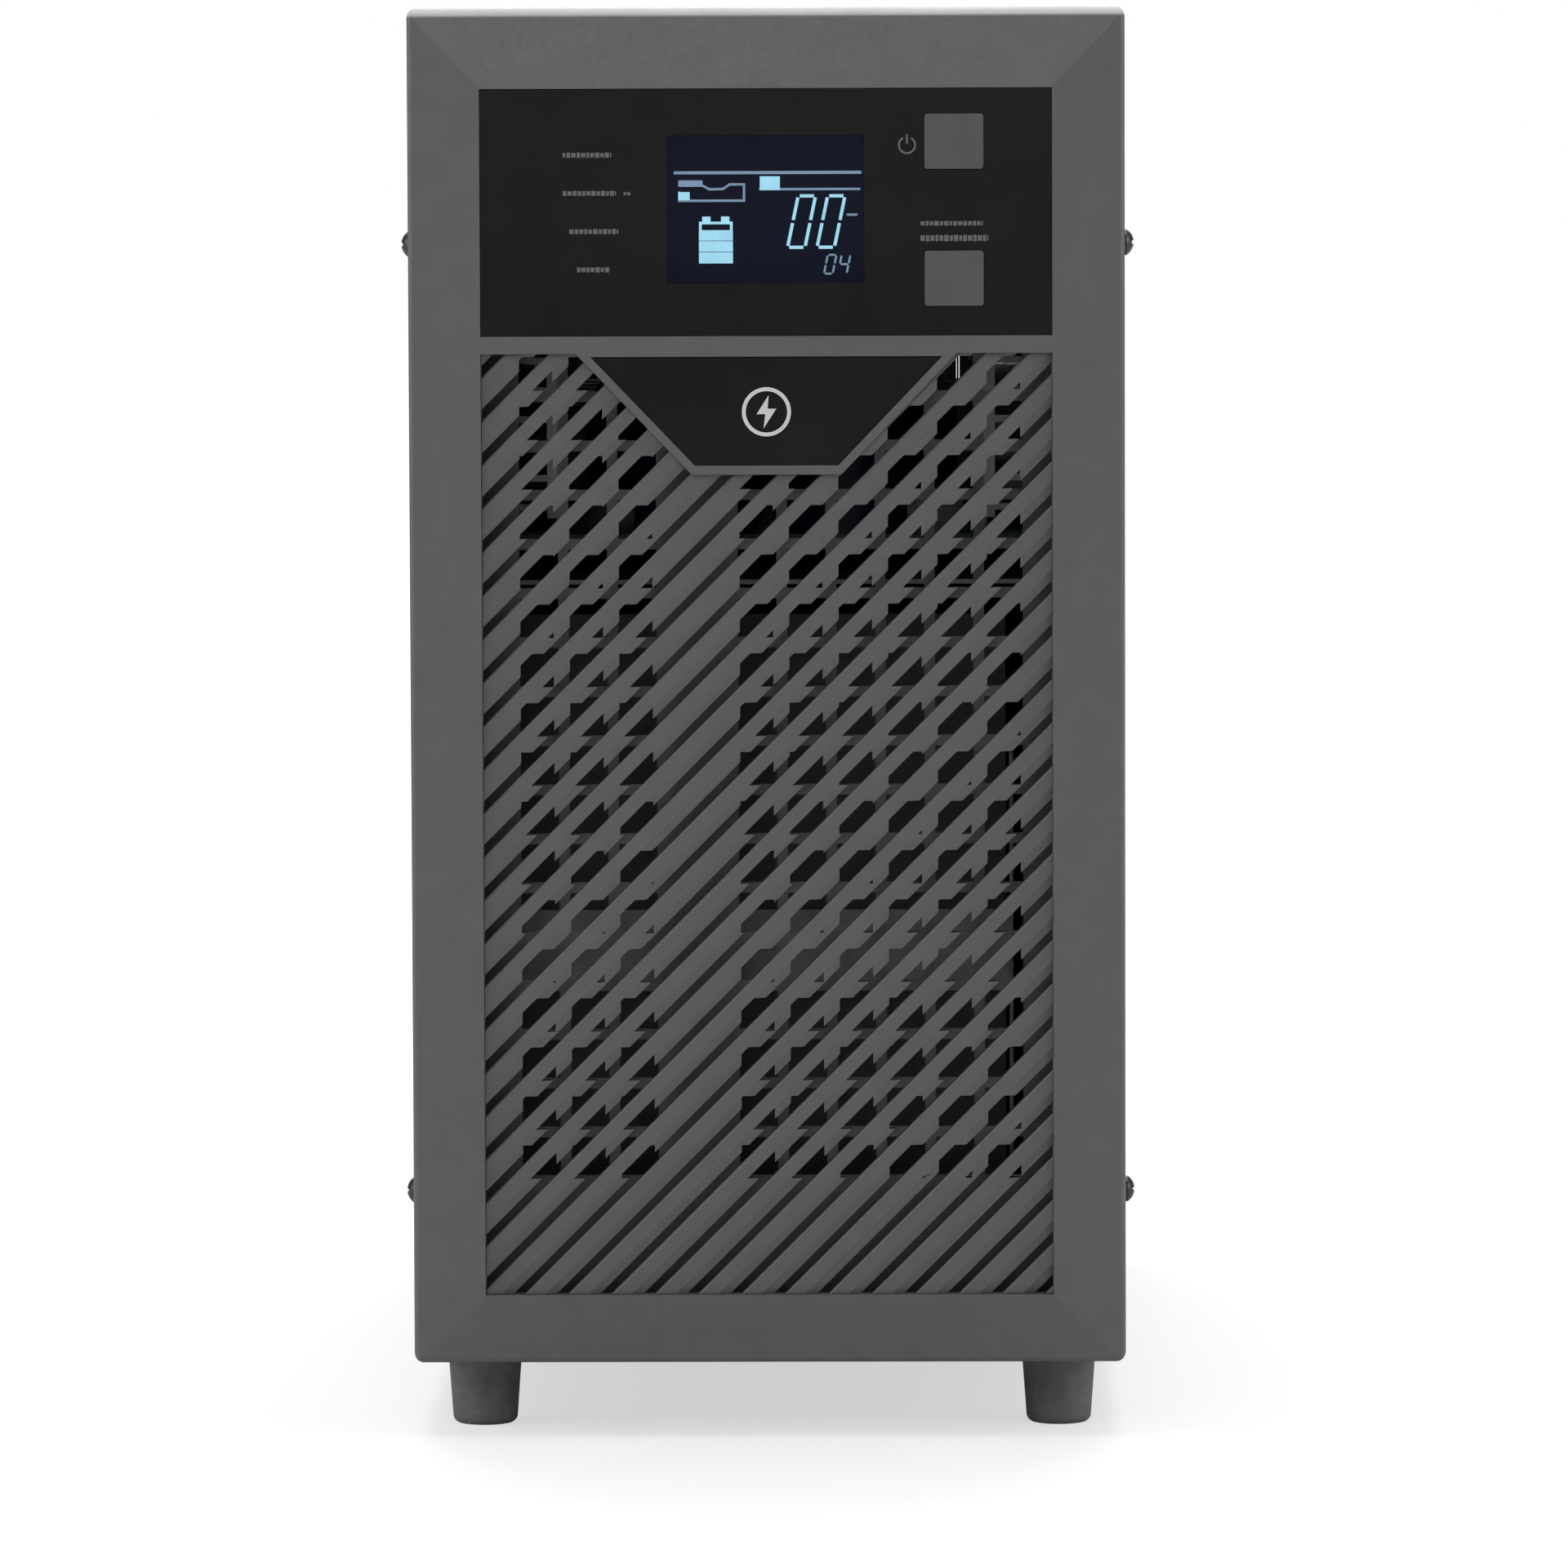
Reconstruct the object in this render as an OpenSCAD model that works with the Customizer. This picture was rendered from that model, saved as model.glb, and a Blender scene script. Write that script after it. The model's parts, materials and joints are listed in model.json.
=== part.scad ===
// Tower uninterruptible power supply: sheet-metal case, plastic front bezel with a
// slatted grille, display panel, battery pack below and power electronics above.
// Origin: centre of the footprint, on the floor. Front faces -Y, +Z is up.

/* [Case] */
// Width across the outside of the metal cover
case_w = 190; // [188:1:200]
// Height of the case above its feet
case_h = 361; // [358:1:375]
// Depth from the front of the bezel to the rear sheet
case_d = 412; // [405:1:440]
// Thickness of the sheet metal
sheet_t = 1.2; // [1:0.1:1.5]
// Radius of the outer corners
corner_r = 3; // [2:0.5:4]
// How far the rear fittings stand out behind the rear sheet
rear_reach = 8; // [8:1:10]

/* [Feet] */
// Height of a foot
foot_h = 20; // [16:0.5:22]
// Diameter of a foot at its top
foot_top_d = 20; // [18:0.5:22]
// Diameter of a foot on the floor
foot_low_d = 17.3; // [16:0.1:18]
// Distance from the middle of the case to a foot's axis
foot_x = 77.4; // [72:0.1:80]
// Distance from the front or rear edge to a foot's axis
foot_inset = 34; // [30:1:45]

/* [Bezel] */
// Width of the sloped frame at the sides of the windows
side_margin = 19.25; // [18:0.25:20]
// Height of the sloped frame above the windows
upper_margin = 21.5; // [20:0.25:22]
// Height of the sloped frame below the windows
lower_margin = 18.5; // [18:0.25:20]
// Depth of the bezel from front to back
bezel_d = 16; // [16:0.5:18]
// How far the frame slopes back from the windows to the outer edge
bezel_slope = 2.6; // [1:0.1:4]
// Radius of the bezel's rounded outer edge
bezel_edge_r = 1.8; // [1:0.1:2.5]
// Radius of the bezel's rounded upper edge
bezel_top_r = 3; // [1:0.1:3.2]
// Wall thickness of the bezel
bezel_t = 2.9; // [2.4:0.1:3]
// Height of the rail between the two windows
rail_h = 4.6; // [4.4:0.1:6]

/* [Display panel] */
// Height of the display panel
panel_h = 65.5; // [64:0.1:68]
// Width of the display
lcd_w = 52.2; // [48:0.1:54]
// Height of the display
lcd_h = 39.2; // [36:0.1:42]
// Width of a button
button_w = 15.6; // [14:0.1:16]
// Height of a button
button_h = 14.6; // [13:0.1:15]
// Distance from the middle to the buttons
button_x = 49.8; // [46:0.1:52]
// Distance between the two buttons
button_gap = 36.2; // [34:0.1:38]
// How far a button goes in
button_travel = 1; // [0.5:0.1:1]

/* [Grille] */
// Distance from one slat to the next, across the slats
slat_pitch = 8.19; // [7:0.01:10]
// Open gap between two slats
slat_gap = 2.2; // [1.8:0.1:2.6]
// Width of the sloping ledge along the lower edge of a slat
ledge_w = 2.2; // [1.8:0.1:2.4]
// Depth of a slat from front to back
slat_t = 4.6; // [3.8:0.1:5]
// Width of the badge along its top edge
badge_top_w = 93.3; // [80:0.1:100]
// Width of the badge along its bottom edge
badge_low_w = 38; // [30:0.1:44]
// Height of the badge
badge_h = 28.9; // [25:0.1:32]
// Width of the rim round the badge
badge_rim = 2.8; // [2:0.1:3.5]

/* [Front sheet] */
// Side of a square ventilation hole
vent_side = 8.9; // [6:0.1:10]
// Distance from one hole to the next
vent_pitch = 13.13; // [12.5:0.01:13.3]
// Rows of holes
vent_rows = 17; // [6:1:17]

/* [Batteries] */
// Length of a battery block
cell_l = 151; // [145:1:151]
// Width of a battery block
cell_w = 65; // [60:1:65]
// Height of a battery block without its terminals
cell_h = 94; // [90:1:94]

/* [Rear] */
// Side of a fan
fan_side = 80; // [80:1:80]
// Depth of a fan
fan_d = 25; // [20:1:25]
// Number of blades on a fan
blade_count = 7; // [5:1:9]
// Diameter of a socket's round well
socket_well_d = 39.3; // [38:0.1:40]
// Depth of a socket's round well
socket_well_depth = 17.5; // [15:0.5:18]
// Diameter of the earth stud
stud_d = 5; // [4:0.5:6]

/* [Hidden] */
$fn = 64;
eps = 0.02;
gap = 0.15;                     // clearance between a plate and the frame round it

// Main planes
front_y = -(case_d + rear_reach) / 2;
rear_y = front_y + case_d;
base_z = foot_h;
top_z = foot_h + case_h;
mid_z = base_z + case_h / 2;
cover_y = front_y + bezel_d + 0.2;            // front edge of the cover and of the front sheet
inner_w = case_w - 2 * sheet_t - 0.4;         // width of what fits inside the cover
inner_y = rear_y - sheet_t;                   // inner face of the rear sheet

// Windows in the bezel
win_w = case_w - 2 * side_margin;
panel_z1 = top_z - upper_margin;
panel_z0 = panel_z1 - panel_h;
panel_zc = (panel_z0 + panel_z1) / 2;
grille_z1 = panel_z0 - rail_h;
grille_z0 = base_z + lower_margin;
grille_zc = (grille_z0 + grille_z1) / 2;
grille_h = grille_z1 - grille_z0;
flange = 2;                                   // lip behind the bezel that holds an insert

// Posts behind the bezel
post_x = (case_w - side_margin) / 2;
post_z = [for (z = [-150, -50, 50, 150]) mid_z + z];
post_r = 3.4;
post_bore_r = 1.4;

// Depths behind the front of the bezel
panel_in = 0.6;
slat_in = 1.9;
slat_chamfer = 0.35;
slat_shift = 0.45;                            // share of a pitch that the row is moved by
slat_reach = (win_w + grille_h) / sqrt(2);    // length of the row, and of its longest slat
ledge_in = 0.15;                              // depth of a ledge at its rib
ledge_drop = 0.9;                             // depth of a ledge at its lower edge
panel_t = 2.4;
lcd_in = 4.3;
lcd_t = 5;
board_in = lcd_in + lcd_t;
board_t = 1.6;
button_out = 0.35;                            // how far a button stands proud of the panel
button_flange_t = 0.9;
switch_in = board_in - 2;
lcd_zc = panel_zc + 0.8;
button_z = [panel_zc + 18.6, panel_zc + 18.6 - button_gap];
light_x = -60;
light_r = 1.5;
light_z = [for (i = [0:3]) panel_zc + 15.2 - i * 10.1];

// Screws
screw_r = 1.95;
screw_hole_r = 2.05;
head_r = 3.5;
head_h = 2;
cover_head_h = 2.8;
cover_screw_z = [base_z + 44, top_z - 63];
cover_screw_y = [cover_y + 9, (cover_y + rear_y) / 2, rear_y - 9];
foot_y = [front_y + foot_inset, rear_y - foot_inset];

// Vents in the front sheet: a narrow group on the left and a wide one on the right
vent_z0 = grille_z0 + 35.5;
vent_groups = [[-61.2, 3], [-2.9, 6]];

// Batteries and the shelf above them
floor_z = base_z + sheet_t;
cell_x = -12;
cell_y0 = cover_y + 34;
row_count = 4;
terminal_h = 6;
terminal_t = 0.8;
tray_z = [floor_z + 0.4, floor_z + 0.4 + cell_h + terminal_h + 1.8];
shelf_z = tray_z[1] + cell_h + terminal_h + 3;
wire_r = 1.6;
wire_up = cell_h + 2.6;                       // height of a lead above the bottom of its layer
riser_x = 78;
riser_r = 2.4;
riser_y = cell_y0 + row_count * cell_w - 20;

// Electronics bay
board_w = 160;
board_l = 300;
board_y0 = cover_y + 30;
board_z = shelf_z + sheet_t + 10;
parts_z = board_z + board_t;
sink_l = 190;
sink_h = 62;
sink_x = 66;
transistor = [5, 16, 21];
ribbon_w = 24;
ribbon_z = panel_zc - 20;

// Rear fittings
fan_x = 43;
fan_z = top_z - 52;
fan_bore_r = fan_side / 2 - 1.8;
fan_hole_x = fan_side / 2 - 4.25;
blade_r = fan_bore_r - 1;
hub_r = 18;
shaft_r = 1.5;
bearing_r = 1.55;
port_x = 40;
port_z = fan_z - 59;
ports = [[-20, 31, 12.4], [5.5, 12, 11], [27, 29, 14]];   // centre, width and height of each port
slot_x = -44;
slot_w = 80;
slot_h = 30;
outlet_side = 50;
outlet_lip = 2.5;
outlet_x = [-62, -10];
outlet_z = [port_z - 64, port_z - 116];
column_x = 56;
inlet_z = outlet_z[0] + 2;
breaker_z = inlet_z - 38;
pack_z = breaker_z - 46;
stud_z = pack_z - 44;

// Colours
bezel_grey = [0.34, 0.34, 0.35];
case_grey = [0.33, 0.33, 0.34];
piano_black = [0.06, 0.06, 0.07];
board_green = [0.10, 0.32, 0.16];
zinc = [0.72, 0.72, 0.74];
plastic_black = [0.08, 0.08, 0.08];

// ---------------------------------------------------------------- helpers

// A flat outline in the XZ plane, given depth along +Y from y0
module along_y(y0, depth) {
  translate([0, y0 + depth, 0]) rotate([90, 0, 0]) linear_extrude(depth) children();
}

// A rectangle with round corners, centred
module round_rect(w, h, r) {
  square([w - 2 * r, h], center = true);
  square([w, h - 2 * r], center = true);
  for (x = [-1, 1], z = [-1, 1]) translate([x * (w / 2 - r), z * (h / 2 - r)]) circle(r);
}

// A block given by its centre in X and Z and by its near and far Y
module block(x, z, w, h, y0, y1) {
  translate([x - w / 2, y0, z - h / 2]) cube([w, y1 - y0, h]);
}

// A rod along +Y
module rod_y(x, z, r, y0, y1) {
  translate([x, y0, z]) rotate([-90, 0, 0]) cylinder(h = y1 - y0, r = r);
}

// A domed screw with a cross recess: head above z = 0, shank below
module dome_screw(shank, h = head_h) {
  dome_r = 4.2;
  recess = [4, 0.9, 1.1];
  difference() {
    intersection() {
      cylinder(h = h, r = head_r);
      translate([0, 0, h - dome_r]) sphere(dome_r);
    }
    for (a = [0, 90]) rotate([0, 0, a]) translate([-recess[0] / 2, -recess[1] / 2, h - recess[2]])
      cube(recess + [0, 0, 1]);
  }
  translate([0, 0, -shank]) cylinder(h = shank + 0.5, r = screw_r);
}

// ---------------------------------------------------------------- front

// Section through the bezel: flat in the middle, sloped frame, round outer edge.
// low and high give the frame's width and its edge radius at the two ends.
function edge_arc(side, half, r) =
  [for (i = [0:6]) let (a = i * 15) [side * (half - r + r * sin(a)), bezel_slope + r * (1 - cos(a))]];
function bezel_section(half, depth, low, high) = concat(
  [[half, depth], [-half, depth]],
  [for (i = [6:-1:0]) edge_arc(-1, half, low[1])[i]],
  [[-(half - low[0]), 0], [half - high[0], 0]],
  edge_arc(1, half, high[1]));

// The body that the sloped frame is cut from
module bezel_body() {
  intersection() {
    translate([0, front_y, base_z]) linear_extrude(case_h)
      polygon(bezel_section(case_w / 2, bezel_d, [side_margin, bezel_edge_r], [side_margin, bezel_edge_r]));
    translate([-case_w / 2, front_y, mid_z]) rotate([0, 90, 0]) linear_extrude(case_w)
      polygon(bezel_section(case_h / 2, bezel_d, [upper_margin, bezel_top_r], [lower_margin, bezel_edge_r]));
    along_y(front_y, bezel_d) translate([0, mid_z]) round_rect(case_w, case_h, corner_r);
  }
}

// Outline of the badge, widened by rim, with its top edge at z = 0
module badge_outline(rim) {
  slant = (badge_top_w - badge_low_w) / 2 / badge_h;
  out = rim * sqrt(1 + slant * slant);
  low = badge_h + rim * 1.15;
  polygon([
    [-badge_top_w / 2 - out, 0],
    [badge_top_w / 2 + out, 0],
    [badge_top_w / 2 + out - low * slant, -low],
    [-badge_top_w / 2 - out + low * slant, -low]
  ]);
}

module grille_window(inset) {
  difference() {
    translate([0, grille_zc]) square([win_w - 2 * inset, grille_h - 2 * inset], center = true);
    translate([0, grille_z1 + eps]) badge_outline(badge_rim + inset);
  }
}

module front_bezel() color(bezel_grey) {
  difference() {
    bezel_body();
    block(0, mid_z, case_w - 2 * bezel_t, case_h - 2 * bezel_t, front_y + bezel_t + bezel_slope, rear_y);
    block(0, (grille_z0 + panel_z1) / 2, win_w + 2 * flange + 0.4, panel_z1 - grille_z0 + 2 * flange + 0.4,
          front_y + bezel_t, rear_y);
    along_y(front_y - 1, bezel_d) grille_window(0);
    along_y(front_y - 1, bezel_d) translate([0, panel_zc]) square([win_w, panel_h], center = true);
    along_y(front_y - 1, 1 + 1.6) translate([0, grille_z1 - 0.8]) badge_outline(0);
  }
  // Posts that carry the bezel on the front sheet
  for (x = [-post_x, post_x], z = post_z)
    difference() {
      rod_y(x, z, post_r, front_y + bezel_t + 1, front_y + bezel_d);
      rod_y(x, z, post_bore_r, front_y + bezel_t + 4, front_y + bezel_d + 1);
    }
}

// The solid rib of a slat, along X, with its front face at y = 0
module slat_rib(length) {
  upper = (slat_pitch - slat_gap) / 2;
  lower = ledge_w - upper;
  rotate([90, 0, 90]) linear_extrude(length, center = true)
    polygon([[0, lower], [0, upper - slat_chamfer], [slat_chamfer, upper], [slat_t, upper], [slat_t, lower]]);
}

// The ledge below a rib, which slopes back to its lower edge
module slat_ledge(length) {
  top = ledge_w - (slat_pitch - slat_gap) / 2;
  rotate([90, 0, 90]) linear_extrude(length, center = true)
    polygon([
      [ledge_in, top + eps],
      [slat_t, top + eps],
      [slat_t, top - ledge_w],
      [ledge_drop, top - ledge_w]
    ]);
}

// Copies of a slat across the grille, from corner to corner
module slat_row() {
  count = ceil(slat_reach / 2 / slat_pitch);
  translate([0, front_y + slat_in, grille_zc]) rotate([0, -45, 0])
    for (k = [-count:count]) translate([0, 0, (k + slat_shift) * slat_pitch]) children();
}

// The square ventilation holes
module vents(side) {
  for (g = vent_groups, i = [0:g[1] - 1], j = [0:vent_rows - 1])
    translate([g[0] + i * vent_pitch, vent_z0 + j * vent_pitch]) square(side, center = true);
}

module slat_grille() color(bezel_grey) {
  lip_y = front_y + bezel_t + 0.1;
  back_y = front_y + slat_in + slat_t;
  intersection() {
    union() {
      slat_row() slat_rib(slat_reach);
      difference() {
        slat_row() slat_ledge(slat_reach);
        along_y(front_y, bezel_d) vents(vent_side);
      }
    }
    union() {
      along_y(front_y, slat_in + slat_t + 1) grille_window(gap);
      block(0, grille_zc, win_w + 2, grille_h + 2, lip_y, back_y + 1);
    }
  }
  difference() {
    block(0, grille_zc, win_w + 2 * flange, grille_h + 2 * flange, lip_y, back_y);
    block(0, grille_zc, win_w - 2 * gap, grille_h - 2 * gap, lip_y - 1, back_y + 1);
  }
}

module display_panel() color(piano_black) difference() {
  union() {
    along_y(front_y + panel_in, panel_t) translate([0, panel_zc])
      square([win_w - 2 * gap, panel_h - 2 * gap], center = true);
    along_y(front_y + bezel_t + 0.1, 1) translate([0, panel_zc])
      square([win_w + 2 * flange, panel_h + 2 * flange], center = true);
  }
  block(0, lcd_zc, lcd_w, lcd_h, front_y, front_y + bezel_d);
  for (z = button_z) along_y(front_y, bezel_d) translate([button_x, z])
    round_rect(button_w + 0.5, button_h + 0.5, 1);
  for (z = light_z) rod_y(light_x, z, light_r + 0.1, front_y, front_y + bezel_d);
}

module lcd_window() color([0.10, 0.12, 0.18]) {
  block(0, lcd_zc, lcd_w - 0.2, lcd_h - 0.2, front_y + panel_in + 0.05, front_y + 2.8);
}

module lcd_module() color([0.09, 0.10, 0.20]) difference() {
  block(0, lcd_zc, lcd_w + 8, lcd_h + 8, front_y + lcd_in, front_y + lcd_in + lcd_t);
  block(0, lcd_zc, lcd_w, lcd_h, front_y + lcd_in - 1, front_y + lcd_in + 0.6);
}

module display_board() color(board_green) {
  difference() {
    block(0, panel_zc, win_w - 6, panel_h - 6, front_y + board_in, front_y + board_in + board_t);
    for (x = [-1, 1], z = [-1, 1])
      rod_y(x * (win_w / 2 - 8), panel_zc + z * (panel_h / 2 - 7), 1.6, front_y, front_y + bezel_d);
  }
  block(0, ribbon_z, ribbon_w, 6, front_y + board_in + board_t - eps, front_y + bezel_d - 2);
}

// A cap with a rear flange that keeps it behind the panel
module button(z) {
  along_y(front_y + panel_in - button_out, lcd_in - panel_in + button_out) translate([button_x, z])
    round_rect(button_w, button_h, 0.8);
  block(button_x, z, button_w + 2, button_h + 2, front_y + lcd_in - eps,
        front_y + lcd_in + button_flange_t);
}

module power_button() color([0.32, 0.32, 0.32]) button(button_z[0]);
module select_button() color([0.32, 0.32, 0.32]) button(button_z[1]);

module button_switches() color(plastic_black) for (z = button_z) {
  block(button_x, z, 6, 6, front_y + switch_in, front_y + board_in);
  rod_y(button_x, z, 1.6, front_y + lcd_in + button_flange_t + button_travel + 0.15,
        front_y + switch_in + eps);
}

module light_pipes() color([0.20, 0.22, 0.20]) for (z = light_z)
  rod_y(light_x, z, light_r, front_y + panel_in, front_y + board_in - 1);

module badge_plate() color(piano_black)
  along_y(front_y + 0.4, 1.15) translate([0, grille_z1 - 0.8 - gap]) difference() {
    badge_outline(-gap);
    translate([0, 1]) square([badge_top_w, 2 * (1 + gap)], center = true);
  }

// A plain bolt of lightning inside a ring
module badge_emblem() color([0.78, 0.78, 0.80])
  along_y(front_y + 0.05, 0.35) translate([0, grille_z1 - badge_h / 2 - 1]) {
    difference() {
      circle(6.5);
      circle(5.5);
    }
    polygon([[0.6, 4.4], [-2.6, -0.6], [-0.3, -0.6], [-0.8, -4.4], [2.6, 0.8], [0.3, 0.8]]);
  }

module front_sheet() color(case_grey) {
  y1 = cover_y + sheet_t;
  difference() {
    along_y(cover_y, sheet_t) difference() {
      translate([0, mid_z]) round_rect(inner_w, case_h - 2 * sheet_t - 0.4, corner_r);
      vents(vent_side + 1.4);
      translate([0, ribbon_z]) square([ribbon_w + 6, 10], center = true);
    }
    for (x = [-post_x, post_x], z = post_z) rod_y(x, z, post_bore_r + 0.2, cover_y - 1, y1 + 1);
  }
  // Side flanges that take the cover's front screws
  for (x = [-1, 1]) difference() {
    translate([x * (inner_w / 2 - sheet_t / 2) - sheet_t / 2, y1 - eps, floor_z + 24])
      cube([sheet_t, 15, case_h - 2 * sheet_t - 30]);
    for (z = cover_screw_z) translate([x * inner_w / 2, cover_screw_y[0], z])
      rotate([0, 90, 0]) cylinder(h = 10, r = screw_hole_r, center = true);
  }
}

// ---------------------------------------------------------------- case

module chassis_base() color(zinc) {
  y0 = cover_y + sheet_t + 0.1;
  y1 = inner_y - 0.1;
  wall_h = 22;
  difference() {
    union() {
      translate([-inner_w / 2, y0, base_z]) cube([inner_w, y1 - y0, sheet_t]);
      for (x = [-1, 1]) translate([x * (inner_w / 2 - sheet_t / 2) - sheet_t / 2, y0, base_z])
        cube([sheet_t, y1 - y0, wall_h]);
      translate([-inner_w / 2, y0, base_z]) cube([inner_w, sheet_t, wall_h]);
      translate([-inner_w / 2, y1 - sheet_t, base_z]) cube([inner_w, sheet_t, wall_h]);
    }
    for (x = [-foot_x, foot_x], y = foot_y)
      translate([x, y, base_z - 1]) cylinder(h = sheet_t + 2, r = screw_hole_r);
  }
}

// Outline of the folded cover, open below
module cover_outline(w, z1, r) {
  translate([-w / 2, base_z]) square([w, z1 - r - base_z]);
  translate([-w / 2 + r, base_z]) square([w - 2 * r, z1 - base_z]);
  for (x = [-1, 1]) translate([x * (w / 2 - r), z1 - r]) circle(r);
}

module case_cover() color(case_grey) difference() {
  along_y(cover_y, rear_y - cover_y) difference() {
    cover_outline(case_w, top_z, corner_r);
    translate([0, -eps]) cover_outline(case_w - 2 * sheet_t, top_z - sheet_t, corner_r - sheet_t);
  }
  for (x = [-1, 1], y = cover_screw_y, z = cover_screw_z)
    translate([x * case_w / 2, y, z]) rotate([0, 90, 0])
      cylinder(h = 10, r = screw_hole_r, center = true);
}

module cover_screws() color([0.16, 0.16, 0.17])
  for (x = [-1, 1], y = cover_screw_y, z = cover_screw_z)
    translate([x * case_w / 2, y, z]) rotate([0, x * 90, 0]) dome_screw(5, cover_head_h);

module rear_panel() color(case_grey) {
  z1 = top_z - sheet_t - 0.2;
  difference() {
    along_y(inner_y, sheet_t) difference() {
      cover_outline(inner_w, z1, corner_r);
      for (x = [-fan_x, fan_x]) translate([x, fan_z]) circle(fan_bore_r);
      translate([slot_x, port_z]) square([slot_w - 16, slot_h - 8], center = true);
      for (p = ports) translate([port_x + p[0], port_z]) square([p[1] + 0.4, p[2] + 0.4], center = true);
      for (x = outlet_x, z = outlet_z) translate([x, z])
        square([outlet_side - 4, outlet_side - 4], center = true);
      translate([column_x, inlet_z]) square([30, 24], center = true);
      translate([column_x, breaker_z]) circle(5.6);
      translate([column_x, pack_z]) square([46, 24], center = true);
      translate([column_x, stud_z]) circle(stud_d / 2 + 0.1);
    }
    rear_screw_places() cylinder(h = 20, r = screw_hole_r, center = true);
  }
  // Side flanges that take the cover's rear screws
  for (x = [-1, 1]) difference() {
    translate([x * (inner_w / 2 - sheet_t / 2) - sheet_t / 2, inner_y - 15, base_z + 24])
      cube([sheet_t, 15 + eps, z1 - base_z - 30]);
    for (z = cover_screw_z) translate([x * inner_w / 2, cover_screw_y[2], z])
      rotate([0, 90, 0]) cylinder(h = 10, r = screw_hole_r, center = true);
  }
}

// Puts its children at every screw on the rear sheet, pointing out of it
module rear_screw_places() {
  for (f = [-fan_x, fan_x], x = [-1, 1], z = [-1, 1])
    translate([f + x * fan_hole_x, rear_y, fan_z + z * fan_hole_x]) rotate([-90, 0, 0]) children();
  for (x = [-1, 1]) {
    translate([slot_x + x * (slot_w / 2 - 4), rear_y, port_z]) rotate([-90, 0, 0]) children();
    translate([column_x + x * 20, rear_y, inlet_z]) rotate([-90, 0, 0]) children();
  }
}

module rear_screws() color([0.16, 0.16, 0.17]) {
  plate_t = 1.7;
  rear_screw_places() translate([0, 0, plate_t]) dome_screw(8);
}

module middle_shelf() color(zinc) {
  y0 = cover_y + sheet_t + 17;
  y1 = inner_y - 34;
  difference() {
    union() {
      translate([-inner_w / 2, y0, shelf_z]) cube([inner_w, y1 - y0, sheet_t]);
      for (x = [-1, 1]) translate([x * (inner_w / 2 - sheet_t / 2) - sheet_t / 2, y0, shelf_z])
        cube([sheet_t, y1 - y0, 14]);
    }
    translate([riser_x, riser_y, shelf_z]) cylinder(h = 20, r = riser_r + 3, center = true);
    for (x = [-1, 1], z = cover_screw_z) translate([x * inner_w / 2, cover_screw_y[1], z])
      rotate([0, 90, 0]) cylinder(h = 12, r = screw_hole_r + 1, center = true);
  }
}

// A tapered rubber foot with a recess for its screw
module foot(x, y) color([0.20, 0.20, 0.20]) translate([x, y, 0]) {
  edge = 1.2;
  rotate_extrude() polygon([
    [4.6, 0],
    [foot_low_d / 2 - edge, 0],
    [foot_low_d / 2, edge],
    [foot_top_d / 2, foot_h],
    [screw_hole_r, foot_h],
    [screw_hole_r, foot_h - 6],
    [4.6, foot_h - 6]
  ]);
}

module foot_front_left() foot(-foot_x, foot_y[0]);
module foot_front_right() foot(foot_x, foot_y[0]);
module foot_rear_left() foot(-foot_x, foot_y[1]);
module foot_rear_right() foot(foot_x, foot_y[1]);

module foot_screws() color(zinc) for (x = [-foot_x, foot_x], y = foot_y)
  translate([x, y, foot_h - 6]) rotate([180, 0, 0]) dome_screw(6 + sheet_t + 3);

// ---------------------------------------------------------------- electronics

module main_board() color(board_green) difference() {
  translate([-board_w / 2, board_y0, board_z]) cube([board_w, board_l, board_t]);
  standoff_places() cylinder(h = 20, r = 1.7, center = true);
}

module standoff_places() {
  for (x = [-1, 1], y = [8, board_l / 2, board_l - 8])
    translate([x * (board_w / 2 - 6), board_y0 + y, board_z]) children();
}

module board_standoffs() color(zinc) standoff_places() {
  translate([0, 0, shelf_z + sheet_t - board_z]) cylinder(h = board_z - shelf_z - sheet_t, r = 3);
  translate([0, 0, -1]) cylinder(h = 1 + board_t + 0.1, r = 1.5);
  translate([0, 0, board_t]) cylinder(h = 1.6, r = 2.8);
}

// A finned extrusion that stands along the board, fins facing out
module heatsink(side) {
  sink_y = board_y0 + 30;
  lift = 3;
  web_t = 5;
  fin_l = 13;
  fin_pitch = 8;
  web_x = side * (sink_x - 10 + web_t / 2);
  fin_x = side * (sink_x - 5.1 + fin_l / 2);
  translate([web_x, sink_y + sink_l / 2, parts_z + lift + sink_h / 2])
    cube([web_t, sink_l, sink_h], center = true);
  for (i = [0:7])
    translate([fin_x, sink_y + sink_l / 2, parts_z + lift + 2.9 + i * fin_pitch])
      cube([fin_l, sink_l, 1.8], center = true);
  for (y = [12, sink_l - 12]) translate([web_x, sink_y + y, parts_z])
    cylinder(h = lift + 0.2, r = 2);
}

// The rectifier's heatsink on the left and the inverter's on the right
module heatsinks() color([0.75, 0.76, 0.78]) for (side = [-1, 1]) heatsink(side);

module power_transistors() color(plastic_black)
  for (side = [-1, 1], i = [0:5]) {
    x = side * (sink_x - 10.1 - transistor[0] / 2);
    y = board_y0 + 45 + i * 28;
    translate([x - transistor[0] / 2, y, parts_z + 14]) cube(transistor);
    for (leg = [2.5, 7.4, 12.3])
      translate([x - 0.6, y + leg, parts_z + 0.05]) cube([1.2, 1.2, 14]);
  }

module bus_capacitors() color([0.12, 0.14, 0.22]) {
  for (x = [-20, 20], y = [18, 56]) translate([x, board_y0 + y, parts_z + 0.1]) {
    difference() {
      cylinder(h = 52, r = 17);
      translate([0, 0, 51.2]) cylinder(h = 2, r = 14.5);
    }
  }
}

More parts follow.
